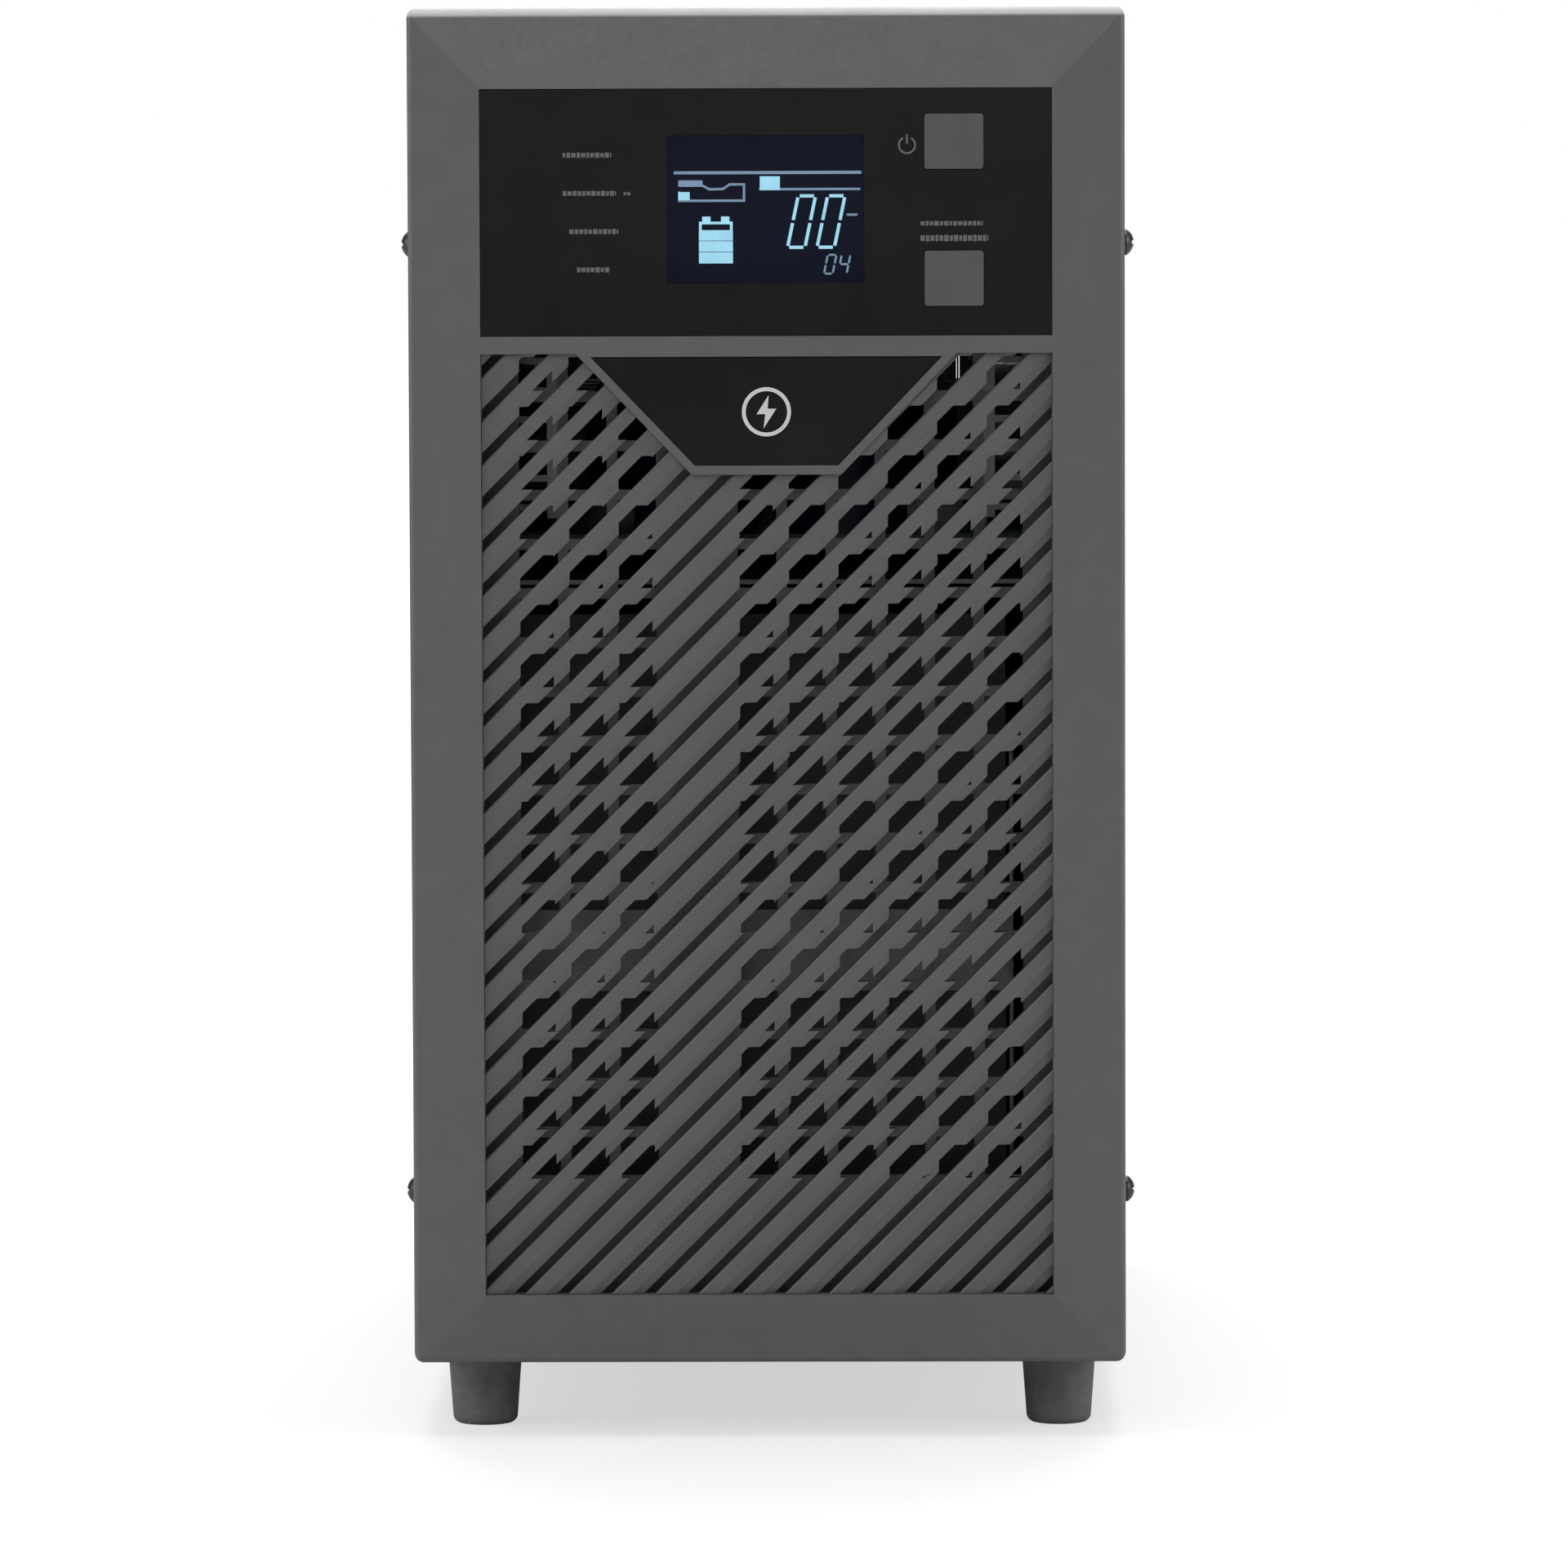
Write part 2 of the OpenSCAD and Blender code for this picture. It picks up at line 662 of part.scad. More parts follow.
module power_chokes() color([0.66, 0.36, 0.16])
  for (y = [112, 176]) translate([-18, board_y0 + y, parts_z + 27.2]) rotate([0, 90, 0]) {
    rotate_extrude() translate([18, 0]) round_rect(17, 24, 5);
    // Foot of the winding, flat on the board
    translate([23, -12, -9]) cube([4, 24, 18]);
  }

module relays() color([0.10, 0.16, 0.30]) for (i = [0:3])
  translate([-58 + i * 31, board_y0 + 256, parts_z + 0.1]) cube([24, 32, 26]);

module control_board() color(board_green) {
  x = ribbon_w / 2 + 1.6;
  translate([x, board_y0 + 96, parts_z + 0.1]) cube([board_t, 130, 72]);
  for (i = [0:2]) translate([x + board_t - eps, board_y0 + 112 + i * 36, parts_z + 26])
    cube([3, 18, 18]);
}

module transformer() color([0.24, 0.20, 0.14]) translate([-18, board_y0 + 220, parts_z + 0.1]) {
  translate([-22, -16, 0]) cube([44, 32, 12]);
  translate([-22, -16, 12 - eps]) cube([9, 32, 22]);
  translate([13, -16, 12 - eps]) cube([9, 32, 22]);
  translate([-22, -16, 34 - 2 * eps]) cube([44, 32, 8]);
  translate([0, 0, 11.9]) cylinder(h = 22.2, r = 11.5);
}

// A flat cable from the display, through the front sheet, to a plug on the control board
module display_ribbon() color([0.62, 0.62, 0.64]) {
  y0 = front_y + bezel_d - 1.9;
  y1 = board_y0 + 108;
  block(0, ribbon_z, ribbon_w, 0.9, y0, y1);
  block(0, ribbon_z, ribbon_w + 3, 6, y1 - eps, y1 + 8);
}

// ---------------------------------------------------------------- batteries

// Holds both layers: a tray between them, side walls and a strap at the front
module battery_cage() color(zinc) {
  wall = 1;
  w = cell_l + 2;
  l = row_count * cell_w + 3;
  z1 = tray_z[1] + cell_h * 0.6;
  difference() {
    for (x = [-1, 1]) translate([cell_x + x * (w / 2 + wall / 2) - wall / 2, cell_y0 - 1, floor_z])
      cube([wall, l, z1 - floor_z]);
    translate([cell_x, riser_y, tray_z[0] + wire_up]) rotate([0, 90, 0]) cylinder(h = w, r = wire_r + 1);
  }
  translate([cell_x - w / 2 - eps, cell_y0 - 1, tray_z[1] - 1.3]) cube([w + 2 * eps, l, 1.2]);
  translate([cell_x - w / 2 - eps, cell_y0 - 2, tray_z[1] - 8]) cube([w + 2 * eps, wall, 22]);
  translate([cell_x + w / 2 + wall - eps, cell_y0 - 1, floor_z]) cube([12, l, 1.2]);
}

// Block number n, counted from the front of the lower layer
module battery(n) color([0.22, 0.22, 0.24]) {
  layer = n < row_count ? 0 : 1;
  y = cell_y0 + (n % row_count) * (cell_w + 0.4);
  translate([cell_x - cell_l / 2, y, tray_z[layer]]) {
    difference() {
      cube([cell_l, cell_w, cell_h]);
      for (s = [0, 1]) translate([-1, s * cell_w - 0.5, cell_h - 12]) cube([cell_l + 2, 1, 0.8]);
      for (s = [0, 1]) translate([s * cell_l - 0.5, -1, cell_h - 12]) cube([1, cell_w + 2, 0.8]);
    }
    for (s = [14, cell_w - 20]) translate([cell_l - 12, s, cell_h - eps])
      cube([terminal_t, 6.3, terminal_h]);
  }
}

module battery_1() battery(0);
module battery_2() battery(1);
module battery_3() battery(2);
module battery_4() battery(3);
module battery_5() battery(4);
module battery_6() battery(5);
module battery_7() battery(6);
module battery_8() battery(7);

// Leads along both layers, joined by a riser that runs up to the board
module battery_harness() color([0.55, 0.08, 0.07]) {
  x = cell_x + cell_l / 2 - 6;
  z0 = tray_z[0] + wire_up;
  for (z = tray_z) translate([0, 0, z + wire_up]) {
    rod_y(x, 0, wire_r, cell_y0 + 12, riser_y);
    translate([x, riser_y, 0]) sphere(wire_r);
    translate([x, riser_y, 0]) rotate([0, 90, 0]) cylinder(h = riser_x - x, r = wire_r);
  }
  translate([riser_x, riser_y, z0 - wire_r]) cylinder(h = shelf_z + sheet_t + 8 - z0, r = riser_r);
}

// ---------------------------------------------------------------- rear

module fan_frame(x) color(plastic_black) translate([x, 0, fan_z]) {
  hub_t = 2.4;
  hub_y = inner_y - hub_t - 0.2;
  along_y(inner_y - fan_d, fan_d - 0.1) difference() {
    round_rect(fan_side, fan_side, 5);
    circle(fan_bore_r);
    for (a = [-1, 1], b = [-1, 1]) translate([a * fan_hole_x, b * fan_hole_x]) circle(screw_hole_r);
  }
  difference() {
    union() {
      rod_y(0, 0, hub_r, hub_y, inner_y - 0.2);
      rod_y(0, 0, 4, hub_y - 12, hub_y + eps);
      intersection() {
        for (a = [0, 90]) rotate([0, a, 0]) block(0, 0, 2 * fan_side, 4, hub_y, inner_y - 0.2);
        rod_y(0, 0, fan_bore_r + 1, hub_y - 1, inner_y);
      }
    }
    rod_y(0, 0, bearing_r, hub_y - 13, inner_y);
  }
}

module fan_frame_left() fan_frame(-fan_x);
module fan_frame_right() fan_frame(fan_x);

// Hub cup, shaft and inclined blades
module fan_rotor(x) color([0.12, 0.12, 0.13]) translate([x, 0, fan_z]) {
  y0 = inner_y - fan_d + 1.5;
  cup = 17.5;
  difference() {
    rod_y(0, 0, hub_r - 0.5, y0, y0 + cup);
    rod_y(0, 0, hub_r - 2.5, y0 + 2.4, y0 + cup + 1);
  }
  rod_y(0, 0, shaft_r, y0 + 2.4 - eps, inner_y - 1);
  intersection() {
    for (i = [0:blade_count - 1]) rotate([0, i * 360 / blade_count, 0])
      translate([hub_r - 1.2, y0 + cup / 2, 0]) rotate([38, 0, 0])
        translate([0, -14, -0.8]) cube([blade_r, 28, 1.6]);
    difference() {
      rod_y(0, 0, blade_r, y0 + 0.5, y0 + cup - 0.5);
      rod_y(0, 0, hub_r - 1.2, y0, y0 + cup);
    }
  }
}

module fan_rotor_left() fan_rotor(-fan_x);
module fan_rotor_right() fan_rotor(fan_x);

// Wire finger guard: rings, crossed stays and four screw eyes
module fan_guard(x) color(zinc) translate([x, 0, fan_z]) {
  wire = 0.8;
  stay_y = rear_y + 0.85;
  ring_y = stay_y + 1.2;
  for (r = [9:7:37]) translate([0, ring_y, 0]) rotate([-90, 0, 0])
    rotate_extrude() translate([r, 0]) circle(wire, $fn = 32);
  difference() {
    for (a = [45, 135]) rotate([0, a, 0]) translate([-fan_hole_x * sqrt(2), stay_y, 0])
      rotate([0, 90, 0]) cylinder(h = 2 * fan_hole_x * sqrt(2), r = wire, $fn = 32);
    for (a = [-1, 1], b = [-1, 1])
      rod_y(a * fan_hole_x, b * fan_hole_x, screw_hole_r, rear_y - 1, rear_y + 4);
  }
  for (a = [-1, 1], b = [-1, 1]) difference() {
    rod_y(a * fan_hole_x, b * fan_hole_x, 3.6, rear_y + 0.05, rear_y + 1.65);
    rod_y(a * fan_hole_x, b * fan_hole_x, screw_hole_r, rear_y - 1, rear_y + 3);
  }
}

module fan_guards() for (x = [-fan_x, fan_x]) fan_guard(x);

module slot_cover() color(case_grey) difference() {
  along_y(rear_y + 0.05, 1.6) translate([slot_x, port_z]) round_rect(slot_w, slot_h, 2);
  rear_screw_places() cylinder(h = 20, r = screw_hole_r, center = true);
}

// Mains inlet: flange with two screw holes and a well with three flat pins
module mains_inlet() color(plastic_black) {
  well = [26, 19.5, 15];
  difference() {
    union() {
      along_y(rear_y + 0.05, 1.6) translate([column_x, inlet_z]) round_rect(50, 28, 4);
      block(column_x, inlet_z, 29.6, 23.6, rear_y - 24, rear_y + 1);
    }
    block(column_x, inlet_z, well[0], well[1], rear_y + 1.65 - well[2], rear_y + 5);
    rear_screw_places() cylinder(h = 20, r = screw_hole_r, center = true);
  }
  for (p = [[-7, -3.5], [7, -3.5], [0, 4]])
    block(column_x + p[0], inlet_z + p[1], 2, 7.5, rear_y - 14, rear_y - 1);
}

// Overload breaker: body behind the sheet, threaded neck and nut outside
module breaker_body() color(plastic_black) {
  difference() {
    union() {
      block(column_x, breaker_z, 16, 32, inner_y - 30, inner_y - 0.1);
      rod_y(column_x, breaker_z, 5.5, inner_y - 1, rear_y + 4.6);
      translate([column_x, rear_y + 0.05, breaker_z]) rotate([-90, 0, 0])
        cylinder(h = 2.4, r = 8, $fn = 6);
    }
    rod_y(column_x, breaker_z, 3.6, inner_y - 12, rear_y + 6);
  }
}

module breaker_button() color([0.90, 0.90, 0.88])
  rod_y(column_x, breaker_z, 3.5, inner_y - 8, rear_y + 6.6);

// Earthed socket: square lip, round well, two contact holes and two earth clips
module outlet(n) color(plastic_black) {
  x = outlet_x[n % 2];
  z = outlet_z[n < 2 ? 0 : 1];
  floor_y = rear_y + outlet_lip - socket_well_depth;
  difference() {
    union() {
      along_y(rear_y + 0.05, outlet_lip - 0.05) translate([x, z])
        round_rect(outlet_side, outlet_side, 4);
      along_y(floor_y - 14, 14 + socket_well_depth - 1) translate([x, z])
        round_rect(outlet_side - 4.6, outlet_side - 4.6, 3);
    }
    rod_y(x, z, socket_well_d / 2, floor_y, rear_y + outlet_lip + 1);
    for (s = [-1, 1]) {
      rod_y(x + s * 9.5, z, 2.6, floor_y - 11, floor_y + 1);
      block(x, z + s * (socket_well_d / 2 + 0.4), 5, 3, floor_y - 6, rear_y + outlet_lip + 1);
    }
  }
}

module outlet_1() outlet(0);
module outlet_2() outlet(1);
module outlet_3() outlet(2);
module outlet_4() outlet(3);

// Serial connector, USB socket and a pair of network sockets
module data_ports() color([0.30, 0.31, 0.33]) {
  y0 = inner_y - 14;
  y1 = rear_y;
  // Nine-pin serial shell
  difference() {
    union() {
      block(port_x - 20, port_z, 31, 12.4, y0, y1 + 0.8);
      along_y(y1, 4.5) translate([port_x - 20, port_z])
        polygon([[-9.4, 4.1], [9.4, 4.1], [8, -4.1], [-8, -4.1]]);
    }
    for (i = [0:4]) rod_y(port_x - 20 + (i - 2) * 2.76, port_z + 1.4, 0.55, y1, y1 + 6);
    for (i = [0:3]) rod_y(port_x - 20 + (i - 1.5) * 2.76, port_z - 1.4, 0.55, y1, y1 + 6);
  }
  // USB socket, square with a tongue
  difference() {
    block(port_x + 5.5, port_z, 12, 11, y0, y1 + 0.6);
    block(port_x + 5.5, port_z, 8.6, 8, y0 + 3, y1 + 2);
  }
  block(port_x + 5.5, port_z, 5.6, 3, y0 + 2.9, y1 - 1);
  // Two network sockets side by side
  difference() {
    block(port_x + 27, port_z, 29, 14, y0, y1 + 0.6);
    for (s = [-1, 1]) {
      block(port_x + 27 + s * 7, port_z + 0.4, 11.8, 7.4, y0 + 1, y1 + 2);
      block(port_x + 27 + s * 7, port_z - 4.4, 6, 3.6, y0 + 1, y1 + 2);
    }
  }
}

// External battery connector with two deep contact wells
module battery_connector() color([0.16, 0.16, 0.17]) difference() {
  union() {
    along_y(rear_y + 0.05, 2) translate([column_x, pack_z]) round_rect(56, 32, 3);
    block(column_x, pack_z, 45, 23, rear_y - 26, rear_y + 6);
  }
  for (s = [-1, 1]) block(column_x + s * 10.5, pack_z, 16, 16, rear_y - 16, rear_y + 7);
}

// Earth stud with its nut and washer
module earth_stud() color([0.80, 0.68, 0.30]) translate([column_x, 0, stud_z]) {
  rod_y(0, 0, stud_d / 2, inner_y - 6, rear_y + rear_reach);
  rod_y(0, 0, 5.2, rear_y + 0.05, rear_y + 0.9);
  translate([0, rear_y + 0.9 - eps, 0]) rotate([-90, 0, 0]) cylinder(h = 2.6, r = 4.6, $fn = 6);
  translate([0, inner_y - 3, 0]) rotate([-90, 0, 0]) cylinder(h = 2.9, r = 4.6, $fn = 6);
}

// ---------------------------------------------------------------- assembly

front_bezel();
slat_grille();
display_panel();
lcd_window();
lcd_module();
display_board();
power_button();
select_button();
button_switches();
light_pipes();
badge_plate();
badge_emblem();
front_sheet();
chassis_base();
case_cover();
rear_panel();
middle_shelf();
cover_screws();
rear_screws();
foot_front_left();
foot_front_right();
foot_rear_left();
foot_rear_right();
foot_screws();
main_board();
board_standoffs();
heatsinks();
power_transistors();
bus_capacitors();
power_chokes();
relays();
control_board();
transformer();
display_ribbon();
battery_cage();
battery_1();
battery_2();
battery_3();
battery_4();
battery_5();
battery_6();
battery_7();
battery_8();
battery_harness();
fan_frame_left();
fan_frame_right();
fan_rotor_left();
fan_rotor_right();
fan_guards();
mains_inlet();
breaker_body();
breaker_button();
outlet_1();
outlet_2();
outlet_3();
outlet_4();
data_ports();
slot_cover();
battery_connector();
earth_stud();
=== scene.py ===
import json
import math

import bmesh
import bpy
from mathutils import Matrix, Vector


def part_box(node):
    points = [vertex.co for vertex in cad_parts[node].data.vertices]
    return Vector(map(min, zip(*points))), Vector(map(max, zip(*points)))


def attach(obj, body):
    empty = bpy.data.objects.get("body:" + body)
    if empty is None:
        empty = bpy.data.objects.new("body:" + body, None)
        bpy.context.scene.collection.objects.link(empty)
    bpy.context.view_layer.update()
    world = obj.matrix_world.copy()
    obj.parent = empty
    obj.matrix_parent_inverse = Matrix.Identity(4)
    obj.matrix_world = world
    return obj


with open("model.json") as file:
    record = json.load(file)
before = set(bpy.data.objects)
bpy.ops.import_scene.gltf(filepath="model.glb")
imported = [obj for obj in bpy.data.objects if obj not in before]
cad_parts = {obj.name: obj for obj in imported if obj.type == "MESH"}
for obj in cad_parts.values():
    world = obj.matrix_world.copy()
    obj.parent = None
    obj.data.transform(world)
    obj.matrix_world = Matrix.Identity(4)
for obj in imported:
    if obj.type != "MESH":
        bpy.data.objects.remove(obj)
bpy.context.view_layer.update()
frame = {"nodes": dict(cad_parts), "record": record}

MM = 0.001
CASE = "case"
scene = bpy.context.scene


# ------------------------------------------------------------------ places taken from the frame

def middle(node):
    low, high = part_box(node)
    return (low + high) / 2


bezel_low, bezel_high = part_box("front_bezel")
front_y = bezel_low.y
panel_face_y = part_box("display_panel")[0].y
lcd_module_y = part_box("lcd_module")[0].y
panel_centre = middle("display_panel")
lcd_centre = middle("lcd_window")


# ------------------------------------------------------------------ materials

class Surface:
    """A procedural material: a Principled shader with noise, bump and edge wear wired to it."""

    def __init__(self, name, color, rough, metal=0.0, **sockets):
        self.mat = bpy.data.materials.new(name)
        self.mat.use_nodes = True
        self.nodes = self.mat.node_tree.nodes
        self.links = self.mat.node_tree.links
        self.shader = self.nodes["Principled BSDF"]
        self.color = color
        self.tinted = (*color, 1.0)
        self.normal = None
        self.coords = self.nodes.new("ShaderNodeTexCoord").outputs["Object"]
        self.set("Base Color", (*color, 1.0))
        self.set("Roughness", rough)
        self.set("Metallic", metal)
        for socket, value in sockets.items():
            self.set(socket.replace("_", " "), value)

    def set(self, socket, value):
        self.shader.inputs[socket].default_value = value

    def node(self, kind, **settings):
        made = self.nodes.new(kind)
        for key, value in settings.items():
            setattr(made, key, value)
        return made

    def put(self, target, value):
        """Links a socket, or sets a number or colour."""
        if isinstance(value, bpy.types.NodeSocket):
            self.links.new(value, target)
        else:
            target.default_value = value

    def pattern(self, kind, size_mm, stretch):
        """A texture with features about size_mm across, longer along an axis with a small stretch."""
        mapping = self.node("ShaderNodeMapping")
        self.put(mapping.inputs["Vector"], self.coords)
        mapping.inputs["Scale"].default_value = stretch
        tex = self.node(kind)
        self.put(tex.inputs["Vector"], mapping.outputs["Vector"])
        tex.inputs["Scale"].default_value = 1.0 / (size_mm * MM)
        return tex

    def noise(self, grain_mm, detail=2.0, stretch=(1, 1, 1)):
        tex = self.pattern("ShaderNodeTexNoise", grain_mm, stretch)
        tex.inputs["Detail"].default_value = detail
        return tex.outputs["Fac"]

    def cells(self, size_mm, stretch=(1, 1, 1)):
        return self.pattern("ShaderNodeTexVoronoi", size_mm, stretch).outputs["Distance"]

    def spread(self, value, low, high, start=0.3, end=0.7):
        """Maps start..end of a value to low..high."""
        ramp = self.node("ShaderNodeMapRange")
        self.put(ramp.inputs["Value"], value)
        ends = {"From Min": start, "From Max": end, "To Min": low, "To Max": high}
        for socket, number in ends.items():
            ramp.inputs[socket].default_value = number
        return ramp.outputs["Result"]

    def math(self, operation, a, b):
        made = self.node("ShaderNodeMath", operation=operation)
        self.put(made.inputs[0], a)
        self.put(made.inputs[1], b)
        return made.outputs[0]

    def mix(self, factor, a, b):
        made = self.node("ShaderNodeMix", data_type="RGBA")
        self.put(made.inputs["Factor"], factor)
        self.put(made.inputs["A"], a)
        self.put(made.inputs["B"], b)
        return made.outputs["Result"]

    def shade(self, factor, amount):
        """The base colour, darker and lighter by amount."""
        dark = (*[c * (1 - amount) for c in self.color], 1.0)
        light = (*[min(1.0, c * (1 + amount)) for c in self.color], 1.0)
        return self.mix(factor, dark, light)

    def tint(self, color):
        """Sets the colour that edge wear is laid over."""
        self.tinted = color
        self.put(self.shader.inputs["Base Color"], color)
        return self

    def mottle(self, grain_mm, amount):
        return self.tint(self.shade(self.spread(self.noise(grain_mm), 0.0, 1.0), amount))

    def rough(self, grain_mm, low, high, stretch=(1, 1, 1)):
        self.put(self.shader.inputs["Roughness"], self.spread(self.noise(grain_mm, 4.0, stretch), low, high))
        return self

    def bump(self, height, strength, depth_mm):
        """Adds relief on top of the relief that is there."""
        made = self.node("ShaderNodeBump")
        made.inputs["Strength"].default_value = strength
        made.inputs["Distance"].default_value = depth_mm * MM
        self.put(made.inputs["Height"], height)
        if self.normal is not None:
            self.put(made.inputs["Normal"], self.normal)
        self.normal = made.outputs["Normal"]
        self.put(self.shader.inputs["Normal"], self.normal)
        return self

    def grain(self, grain_mm, strength, depth_mm, stretch=(1, 1, 1)):
        return self.bump(self.noise(grain_mm, 3.0, stretch), strength, depth_mm)

    def worn(self, radius_mm, color, amount):
        """Lightens rubbed edges: where a rounded normal leaves the true one, broken up by noise."""
        bevel = self.node("ShaderNodeBevel", samples=4)
        bevel.inputs["Radius"].default_value = radius_mm * MM
        flat = self.node("ShaderNodeNewGeometry").outputs["Normal"]
        dot = self.node("ShaderNodeVectorMath", operation="DOT_PRODUCT")
        self.put(dot.inputs[0], bevel.outputs["Normal"])
        self.put(dot.inputs[1], flat)
        edge = self.spread(dot.outputs["Value"], 1.0, 0.0, 0.80, 0.99)
        patchy = self.spread(self.noise(4.0, 5.0), 0.25, 1.0)
        mask = self.math("MULTIPLY", self.math("MULTIPLY", edge, patchy), amount)
        self.put(self.shader.inputs["Base Color"], self.mix(mask, self.tinted, (*color, 1.0)))
        return self


def grey(level):
    return (level, level, level * 1.02)


def moulded(name, color, low, high, grain_mm=0.35, depth_mm=0.05, worn=0.25):
    """Moulded plastic with a spark-eroded grain."""
    made = Surface(name, color, (low + high) / 2)
    made.mottle(9.0, 0.05).rough(1.6, low, high).grain(grain_mm, 0.35, depth_mm).grain(2.4, 0.10, 0.05)
    edge = [min(1.0, c * 1.7 + 0.02) for c in color]
    return made.worn(0.5, edge, worn).mat


BEZEL_GREY = grey(0.082)
# Pale grey painted on the bezel's upper edge as a highlight.
PAINTED_HIGHLIGHT_GREY = (0.44, 0.44, 0.445, 1.0)


def bezel_surface():
    """The bezel's plastic, with a painted highlight: pale grey painted along its rounded upper edge."""
    made = Surface("bezel_plastic_painted_highlight", BEZEL_GREY, 0.5)
    made.mottle(9.0, 0.05)
    split = made.node("ShaderNodeSeparateXYZ")
    made.put(split.inputs["Vector"], made.coords)
    # Painted highlight: the top of the bezel near its front is painted pale grey, standing in for light on
    # its rounded upper edge, varied a little by noise.
    high = made.spread(split.outputs["Z"], 0.0, 1.0, bezel_high.z - 2.7 * MM, bezel_high.z - 1.9 * MM)
    near = made.spread(split.outputs["Y"], 1.0, 0.0, front_y + 4.6 * MM, front_y + 6.4 * MM)
    edge = made.math("MULTIPLY", high, near)
    painted_highlight = made.math("MULTIPLY", edge, made.spread(made.noise(30.0), 0.85, 1.0))
    made.tint(made.mix(painted_highlight, made.tinted, PAINTED_HIGHLIGHT_GREY))
    made.rough(1.6, 0.42, 0.56).grain(0.35, 0.35, 0.05).grain(2.4, 0.10, 0.05)
    return made.worn(0.5, [c * 1.7 + 0.02 for c in BEZEL_GREY], 0.25).mat


def coated(name, color):
    """Powder coat: fine texture over a slight orange peel."""
    made = Surface(name, color, 0.5)
    made.mottle(14.0, 0.05).rough(2.2, 0.46, 0.62).grain(1.3, 0.22, 0.06).grain(0.4, 0.30, 0.03)
    edge = [min(1.0, c * 1.8 + 0.03) for c in color]
    return made.worn(0.6, edge, 0.35).mat


def gloss(name, color, low=0.04, high=0.12, specular=0.5):
    """Polished plastic with faint smears."""
    made = Surface(name, color, low, Specular_IOR_Level=specular)
    made.mottle(20.0, 0.15).rough(12.0, low, high, (1.0, 1.0, 0.35)).grain(6.0, 0.03, 0.02)
    return made.worn(0.35, [c * 2.0 + 0.02 for c in color], 0.4).mat


def metal(name, color, low, high, stretch=(1, 1, 1), bump=0.15):
    """Bare or plated metal, with drawn lines along the axis that has the small stretch."""
    made = Surface(name, color, low, 1.0)
    made.mottle(5.0, 0.10).rough(0.6, low, high, stretch).grain(0.25, bump, 0.02, stretch)
    return made.worn(0.4, [min(1.0, c * 1.25) for c in color], 0.5).mat


def rubber(name, color):
    made = Surface(name, color, 0.75)
    made.mottle(3.0, 0.12).rough(1.2, 0.66, 0.86).grain(0.5, 0.4, 0.06)
    return made.worn(0.8, [c * 1.8 + 0.02 for c in color], 0.3).mat


def circuit_board(name, color):
    """Solder mask with faint copper tracks under it."""
    made = Surface(name, color, 0.35)
    tracks = made.spread(made.cells(3.2, (1.0, 0.45, 0.6)), 0.0, 1.0, 0.25, 0.32)
    made.tint(made.mix(tracks, (*[c * 1.6 for c in color], 1.0), (*color, 1.0)))
    made.bump(tracks, 0.3, 0.03)
    return made.rough(3.0, 0.28, 0.45).mat


def wound(name, color):
    """Enamelled wire laid turn by turn."""
    made = Surface(name, color, 0.3, 0.85)
    turns = made.node("ShaderNodeTexWave", wave_type="BANDS", bands_direction="Y")
    made.put(turns.inputs["Vector"], made.coords)
    turns.inputs["Scale"].default_value = 1.0 / (4.0 * MM)
    turns.inputs["Distortion"].default_value = 1.5
    made.tint(made.shade(turns.outputs["Fac"], 0.45))
    return made.bump(turns.outputs["Fac"], 0.8, 0.4).rough(1.5, 0.22, 0.4).mat


def lens(name, color, rough, ior):
    made = Surface(name, color, rough, Transmission_Weight=1.0, IOR=ior)
    return made.rough(10.0, rough, rough + 0.03).grain(8.0, 0.03, 0.01).mat


def lit(name, color, strength, spread=0.12):
    """A backlit surface that is a little uneven."""
    made = Surface(name, [c * 0.2 for c in color], 0.4, Specular_IOR_Level=0.1)
    made.put(made.shader.inputs["Emission Color"],
             made.mix(made.spread(made.noise(4.0), 0.0, 1.0),
                      (*[c * (1 - spread) for c in color], 1.0), (*color, 1.0)))
    made.set("Emission Strength", strength)
    return made.mat


def printed(name, color):
    made = Surface(name, color, 0.5)
    return made.mottle(0.8, 0.18).rough(0.7, 0.4, 0.6).mat


